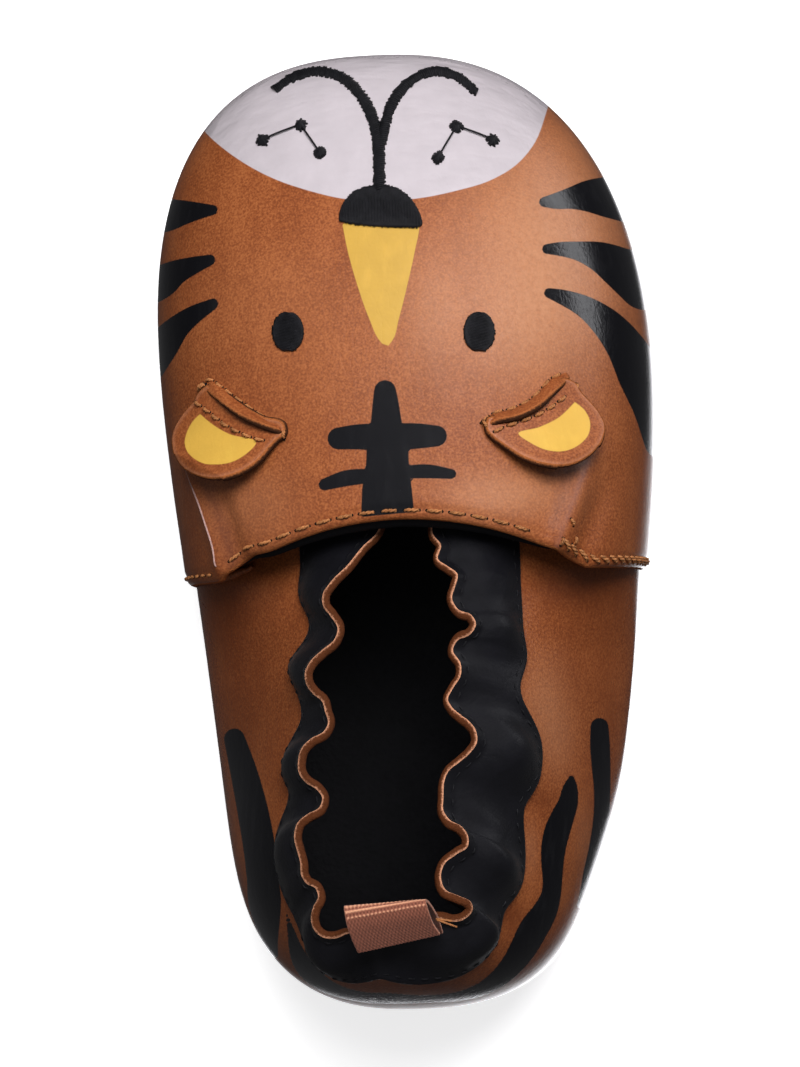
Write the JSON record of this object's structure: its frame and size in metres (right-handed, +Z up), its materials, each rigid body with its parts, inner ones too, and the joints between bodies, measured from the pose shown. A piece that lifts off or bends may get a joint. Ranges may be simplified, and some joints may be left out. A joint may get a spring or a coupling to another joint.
{
  "type": "animal slipper",
  "caption": "Infant's soft-sole slipper with an animal-face vamp, folded ear flaps, a gathered elastic collar and a webbing pull tab at the heel.",
  "frame": {"origin": "on the floor under the middle of the slipper's box", "axes": "+Y towards the toe, +X towards the wearer's outer side, +Z up"},
  "size_m": [0.061, 0.118, 0.049],
  "materials": {
    "sole_suede": "matte suede",
    "insole_cloth": "matte brushed cloth",
    "upper_leather": "satin fine grain",
    "collar_satin": "satin gathered",
    "ear_leather": "satin fine grain",
    "embroidery_thread": "satin stitch",
    "tab_webbing": "woven ribbed"
  },
  "bodies": {
    "root": {"sole": "sole_suede", "insole": "insole_cloth", "upper": "upper_leather", "collar_band": "collar_satin", "ear_left": "ear_leather", "ear_right": "ear_leather", "nose": "embroidery_thread", "eye_left": "embroidery_thread", "eye_right": "embroidery_thread", "pull_tab": "tab_webbing"}
  },
  "joints": []
}
